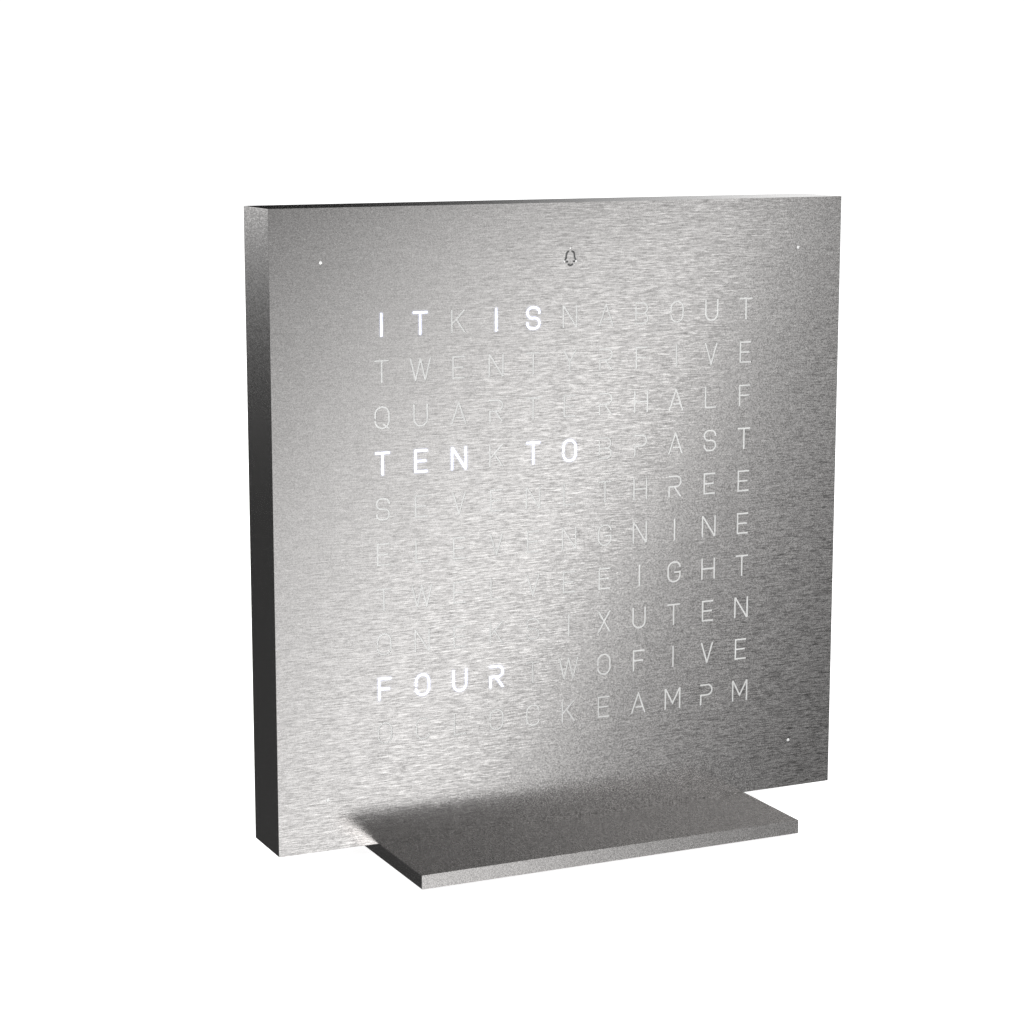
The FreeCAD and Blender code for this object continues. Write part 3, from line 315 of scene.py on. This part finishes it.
def addHalo(material, look):
    # painted glow: the steel itself emits a bluish light round the strokes of the lit letters, standing in
    # for light that spreads from them
    tree = material.node_tree
    shader = tree.nodes["Principled BSDF"]
    place = placeOf(tree)
    inWords = 0
    for row, first, count in letters["litWords"]:
        middleX = gridTopLeft.x + (first + (count - 1) / 2) * pitchAcross
        middleZ = gridTopLeft.z - row * pitchDown
        offX = mathOf(tree, "ABSOLUTE", mathOf(tree, "SUBTRACT", place["X"], middleX))
        offZ = mathOf(tree, "ABSOLUTE", mathOf(tree, "SUBTRACT", place["Z"], middleZ))
        inWord = mathOf(tree, "MULTIPLY", mathOf(tree, "LESS_THAN", offX, count * pitchAcross / 2),
                        mathOf(tree, "LESS_THAN", offZ, pitchDown / 2))
        inWords = mathOf(tree, "ADD", inWord, inWords)
    # seen from inside the sheet, the walls of the cuts are close where a stroke is near
    walls = tree.nodes.new("ShaderNodeAmbientOcclusion")
    walls.inside = True
    walls.only_local = True
    walls.samples = look["samples"]
    walls.inputs["Distance"].default_value = look["reach"]
    near = mathOf(tree, "SUBTRACT", 1, walls.outputs["AO"])
    # colour of the painted glow
    shader.inputs["Emission Color"].default_value = (*look["colour"], 1)
    tree.links.new(mathOf(tree, "MULTIPLY", mathOf(tree, "MULTIPLY", near, inWords), look["strength"]),
                   shader.inputs["Emission Strength"])


def paintLetters(node, look):
    litCells = {(row, first + i) for row, first, count in look["litWords"] for i in range(count)}
    mesh = node.data
    mesh.materials.clear()
    grain = (look["roughness"], look["cell"], look["depth"])
    mesh.materials.append(makePlastic("letters at rest", look["restColour"], *grain))
    mesh.materials.append(makeLitWhite(look))
    mesh.materials.append(makePlastic("minute dots", look["dotColour"], *grain))
    for face in mesh.polygons:
        row = round((gridTopLeft.z - face.center.z) / pitchDown)
        column = round((face.center.x - gridTopLeft.x) / pitchAcross)
        outside = not (0 <= row < look["rows"] and 0 <= column < look["columns"])
        raised = face.center.y < filmFront - 0.01 * mm
        if raised and outside:
            face.material_index = 2
        else:
            face.material_index = int(raised and (row, column) in litCells)


# Bell sign: a dark smoked window with painted highlights: pale spots at three places where the edges of the
# cuts catch the light

windowLook = {
    "dark": (0.10, 0.10, 0.10),
    "pale": (0.94, 0.93, 0.92),
    "reach": (0.2 * mm, 0.4 * mm),
    "wobble": 0.06 * mm,
    "spots": ((0, 1.85), (-1.45, -1.0), (1.45, -1.0)),      # from the middle of the sign, in mm
}


def makeSmoked(look):
    material, tree = newMaterial("smoked window")
    shader = tree.nodes["Principled BSDF"]
    coords = tree.nodes.new("ShaderNodeTexCoord")
    low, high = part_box("alarm_window")
    middle = (low + high) / 2
    nearest = None
    # painted highlights: pale round the three spots, dark elsewhere
    for across, upward in look["spots"]:
        spot = (middle.x + across * mm, low.y, middle.z + upward * mm)
        reach = vectorOf(tree, "DISTANCE", coords.outputs["Object"], spot)
        nearest = reach if nearest is None else mathOf(tree, "MINIMUM", nearest, reach)
    wobble = rangeOf(tree, noiseOf(tree, (0.3, 0.3, 0.3), 2), -look["wobble"], look["wobble"])
    share = rangeOf(tree, mathOf(tree, "ADD", nearest, wobble), 0, 1, *look["reach"])
    tree.links.new(rampOf(tree, share, [(0, look["pale"]), (1, look["dark"])]), shader.inputs["Base Color"])
    shader.inputs["Roughness"].default_value = 0.3
    return material


# Rear screws: painted shade down in the sockets of their heads

screwLook = {
    "colour": (0.62, 0.62, 0.63),
    "roughness": 0.26,
    # painted shade: the share of the colour that is left at the bottom of the sockets
    "socket": 0.12,                      # share of the colour that is left down there
    "deep": 0.5 * mm,
    "shallow": 0.08 * mm,
    "wobble": 0.04 * mm,
}


def makeScrewSteel(look, headFace):
    material = makeMetal("screw steel", look["colour"], look["roughness"])
    tree = material.node_tree
    wobble = rangeOf(tree, noiseOf(tree, (0.2, 0.2, 0.2), 2, 4), -look["wobble"], look["wobble"])
    depth = rangeOf(tree, mathOf(tree, "ADD", placeOf(tree)["Y"], wobble), 0, 1,
                    headFace - look["deep"], headFace - look["shallow"])
    tree.links.new(rampOf(tree, depth, [(0, tinted(look["colour"], look["socket"])), (1, look["colour"])]),
                   tree.nodes["Principled BSDF"].inputs["Base Color"])
    return material


brass = makeMetal("turned brass", (0.80, 0.62, 0.33), 0.28)
brightSteel = makeMetal("bright steel", (0.66, 0.66, 0.67), 0.22)
plainSteel = makeMetal("machined steel", (0.52, 0.52, 0.53), 0.35)
nickel = makeMetal("nickel plate", (0.72, 0.71, 0.69), 0.18)
canMetal = makeMetal("capacitor can", (0.74, 0.74, 0.75), 0.3)
whiteMoulding = makePlastic("white moulding", (0.82, 0.82, 0.80), 0.6)
boardWhite = makePlastic("solder resist", (0.76, 0.79, 0.76), 0.4, (0.5, 0.5, 0.5), 0.004 * mm)
lampPale = makePlastic("lamp package", (0.85, 0.80, 0.55), 0.35)
chipBlack = makePlastic("chip package", (0.045, 0.045, 0.05), 0.5, (0.15, 0.15, 0.15), 0.004 * mm)
darkMoulding = makePlastic("dark moulding", (0.05, 0.05, 0.052), 0.5)
ferrite = makePlastic("ferrite", (0.15, 0.15, 0.16), 0.65)
rubber = makePlastic("rubber", (0.045, 0.045, 0.047), 0.8, (0.5, 0.5, 0.5), 0.03 * mm)
coverBlack = makePlastic("cover black", (0.028, 0.028, 0.03), 0.5, (0.28, 0.28, 0.28), 0.014 * mm)
keyBlack = makePlastic("key black", (0.05, 0.05, 0.053), 0.38, (0.2, 0.2, 0.2), 0.004 * mm)

finishes = {
    "front_cover": makeBrushedSteel("face steel", faceSteel),
    "foot_plate": makeBrushedSteel("foot steel", footSteel),
    "alarm_window": makeSmoked(windowLook),
    "light_baffle": whiteMoulding,
    "led_board": boardWhite,
    "letter_leds": lampPale,
    "minute_leds": lampPale,
    "alarm_led": lampPale,
    "light_sensor": chipBlack,
    "face_studs": brightSteel,
    "hex_spacers": brass,
    "rear_cover": coverBlack,
    "rear_cover_screws": makeScrewSteel(screwLook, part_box("rear_cover_screws")[1].y),
    "foot_bar": plainSteel,
    "foot_screws": brightSteel,
    "anti_slip_pad": rubber,
    "switch_bodies": darkMoulding,
    "socket_shell": nickel,
    "socket_tongue": darkMoulding,
    "buzzer_case": darkMoulding,
    "buzzer_disc": brass,
    "coin_cell": nickel,
    "coin_cell_holder": darkMoulding,
    "coin_cell_clip": nickel,
    "controller_chip": chipBlack,
    "led_driver_chips": chipBlack,
    "clock_chip": chipBlack,
    "clock_crystal": nickel,
    "power_regulator": chipBlack,
    "power_inductor": ferrite,
    "capacitors": canMetal,
}
for key in ("light", "alarm", "minute", "hour"):
    finishes[key + "_key"] = keyBlack
    finishes[key + "_plunger"] = darkMoulding
for name, material in finishes.items():
    nodes[name].data.materials.clear()
    nodes[name].data.materials.append(material)
paintLetters(nodes["letter_inlay"], letters)
addHalo(finishes["front_cover"], haloLook)
print("materials:", len(finishes) + 1, "nodes finished")


# Floor and background

def cameraRay(tree):
    return tree.nodes.new("ShaderNodeLightPath").outputs["Is Camera Ray"]


def backgroundRay(tree):
    # 1 for rays of the camera and for those that metal and glass send out
    path = tree.nodes.new("ShaderNodeLightPath")
    either = mathOf(tree, "MAXIMUM", cameraRay(tree), path.outputs["Is Glossy Ray"])
    return mathOf(tree, "MAXIMUM", either, path.outputs["Is Transmission Ray"])


floorLook = {"side": 8.0, "albedo": 0.8, "lift": 0.78}


def makeFloor(look):
    bpy.ops.object.select_all(action="DESELECT")
    bpy.ops.mesh.primitive_plane_add(size=look["side"], location=(0, 0, 0))
    floor = bpy.context.object
    floor.name = "floor"
    floor.visible_glossy = False       # metal shows the world's white below the horizon too
    material, tree = newMaterial("floor white")
    shader = tree.nodes["Principled BSDF"]
    shader.inputs["Base Color"].default_value = (look["albedo"],) * 3 + (1,)
    shader.inputs["Roughness"].default_value = 1
    shader.inputs["Specular IOR Level"].default_value = 0
    shader.inputs["Emission Color"].default_value = (1, 1, 1, 1)
    tree.links.new(mathOf(tree, "MULTIPLY", backgroundRay(tree), look["lift"]),
                   shader.inputs["Emission Strength"])
    floor.data.materials.append(material)


worldLook = {"diffuse": 0.6, "mirrored": 1.0, "seen": 1.1}


def makeWorld(look):
    world = bpy.data.worlds.new("studio")
    bpy.context.scene.world = world
    world.use_nodes = True
    tree = world.node_tree
    light = tree.nodes["Background"]
    light.inputs["Color"].default_value = (1, 1, 1, 1)
    strength = look["diffuse"]
    for ray, step in ((backgroundRay(tree), look["mirrored"] - look["diffuse"]),
                      (cameraRay(tree), look["seen"] - look["mirrored"])):
        strength = mathOf(tree, "ADD", mathOf(tree, "MULTIPLY", ray, step), strength)
    tree.links.new(strength, light.inputs["Strength"])


makeFloor(floorLook)
makeWorld(worldLook)
print("floor and world ready")


# Cards that only the metal sees: upright sheets across Y, or across X at a fixed depth. Their light is
# given in stops along turn, a share of the way across and of the way up, all in mm

frontDepth = -507
rearDepth = 507
cards = {
    # in front: a bright leaning band with one crisp side, for the face
    "front card": {
        "low": (-600, -700), "high": (1100, 131), "depth": frontDepth, "turn": (1, -slant),
        "stops": ((-560, 0.85), (-430, 0.75), (-300, 0.3), (-192, 0.1), (-72, 0.19), (28, 0.35), (88, 0.62),
                  (138, 0.92), (178, 1.1), (208, 1.24), (228, 1.27), (248, 1.27), (268, 1.62), (288, 1.13),
                  (313, 0.47), (348, 0.46), (398, 0.3), (468, 0.16), (558, 0.08), (670, 0.05), (770, 0.14),
                  (900, 0.65), (1000, 0.8)),
        "drop": (0, 100, 0.84),          # falls to this share between the two heights
    },
    # small and close to the foot: what the foot's left side mirrors into the face
    "low card": {
        "low": (-80, -30), "high": (-54, -2), "depth": -60, "stops": ((-80, 3.0), (-54, 3.0)), "twice": True,
    },
    # above the front card: dim, so that the foot's top stays dark
    "high card": {
        "low": (-600, 131), "high": (2000, 3200), "depth": frontDepth,
        "stops": ((60, 0.11), (140, 0.09), (220, 0.13), (300, 0.25), (380, 0.5), (500, 0.5), (700, 0.2)),
    },
    # behind on the left: dark up to the height of the shell's top
    "side card": {
        "low": (-1000, -700), "high": (-60, 118), "depth": rearDepth, "turn": (0, 1),
        "stops": ((-700, 0.075), (-20, 0.044), (20, 0.062), (45, 0.1), (65, 0.17), (85, 0.29), (103, 0.42),
                  (118, 0.58)),
    },
    # behind and above: dark on the left, bright on the right
    "top card": {
        "low": (-60, 140), "high": (700, 1400), "depth": rearDepth,
        "stops": ((100, 0.006), (142, 0.014), (180, 0.045), (217, 0.14), (254, 0.3), (291, 0.49), (329, 0.72),
                  (366, 0.99), (420, 1.2)),
    },
}
# far off on both sides: darker below, for the sides seen from there
for name, depth, ahead, behind in (("right card", 1000, -500, 1500), ("left card", -1010, -1400, 500)):
    cards[name] = {
        "low": (ahead, -1500), "high": (behind, 1500), "depth": depth, "across": "Y", "turn": (0, 1),
        "stops": ((-600, 0.2), (-300, 0.3), (-120, 0.6), (60, 1.0), (300, 1.0), (900, 0.7)),
    }


def makeCard(name, look):
    low, high, depth = look["low"], look["high"], look["depth"]
    across = look.get("across", "X")
    turn = look.get("turn", (1, 0))
    middle = [(low[i] + high[i]) / 2 for i in (0, 1)]
    place = (middle[0], depth, middle[1]) if across == "X" else (depth, middle[0], middle[1])
    upright = math.radians(90)
    bpy.ops.object.select_all(action="DESELECT")
    bpy.ops.mesh.primitive_plane_add(size=1, rotation=(upright, 0, 0 if across == "X" else upright),
                                     location=[part * mm for part in place])
    card = bpy.context.object
    card.name = name
    card.scale = ((high[0] - low[0]) * mm, (high[1] - low[1]) * mm, 1)
    bpy.ops.object.transform_apply()
    card.visible_camera = False
    card.visible_diffuse = False
    card.visible_transmission = False
    card.visible_shadow = False
    material, tree = newMaterial(name)
    tree.nodes.remove(tree.nodes["Principled BSDF"])
    point = placeOf(tree)
    along = mathOf(tree, "ADD", mathOf(tree, "MULTIPLY", point[across], turn[0]),
                   mathOf(tree, "MULTIPLY", point["Z"], turn[1]))
    light = levelsOf(tree, along, look["stops"])
    if "drop" in look:
        start, end, share = look["drop"]
        light = mathOf(tree, "MULTIPLY", light, rangeOf(tree, point["Z"], 1, share, start * mm, end * mm))
    glow = tree.nodes.new("ShaderNodeEmission")
    tree.links.new(light, glow.inputs["Strength"])
    surface = glow.outputs["Emission"]
    if look.get("twice"):      # lit only for light that metal mirrors twice, and clear for the rest
        path = tree.nodes.new("ShaderNodeLightPath")
        mix = tree.nodes.new("ShaderNodeMixShader")
        tree.links.new(mathOf(tree, "GREATER_THAN", path.outputs["Glossy Depth"], 1.5), mix.inputs["Fac"])
        tree.links.new(tree.nodes.new("ShaderNodeBsdfTransparent").outputs["BSDF"], mix.inputs[1])
        tree.links.new(surface, mix.inputs[2])
        surface = mix.outputs["Shader"]
    tree.links.new(surface, tree.nodes["Material Output"].inputs["Surface"])
    card.data.materials.append(material)


for name, look in cards.items():
    makeCard(name, look)
print("cards placed:", len(cards))


# Lamps: soft panels that the diffuse surfaces see, aimed at the middle of the shell

lamps = {
    "key": {"place": (-0.7, -1.0, 0.9), "side": 0.7, "power": 9.0},
    "fill": {"place": (0.9, -0.7, 0.6), "side": 0.6, "power": 3.0},
    "rear": {"place": (-0.3, 1.1, 0.8), "side": 0.7, "power": 6.0},
}
shellLow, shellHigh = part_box("front_cover")
shellMiddle = (shellLow + shellHigh) / 2
for name, lamp in lamps.items():
    place = Vector(lamp["place"])
    aim = (shellMiddle - place).to_track_quat("-Z", "Y").to_euler()
    bpy.ops.object.light_add(type="AREA", location=place, rotation=aim)
    panel = bpy.context.object
    panel.name = name + " lamp"
    panel.data.size = lamp["side"]
    panel.data.energy = lamp["power"]
    panel.visible_glossy = False
print("lamps:", len(lamps))


# Camera: its place in mm, and how far it looks down and turns to the right

cameraLook = {"place": (-229.21, -468.53, 163.17), "down": 10.034, "turn": 25.056, "lens": 85, "sensor": 36}
bpy.ops.object.camera_add(
    location=[part * mm for part in cameraLook["place"]],
    rotation=(math.radians(90 - cameraLook["down"]), 0, math.radians(-cameraLook["turn"])))
camera = bpy.context.object
camera.data.lens = cameraLook["lens"]
camera.data.sensor_width = cameraLook["sensor"]
bpy.context.scene.camera = camera
bpy.context.scene.view_settings.view_transform = "Standard"
print("camera set")
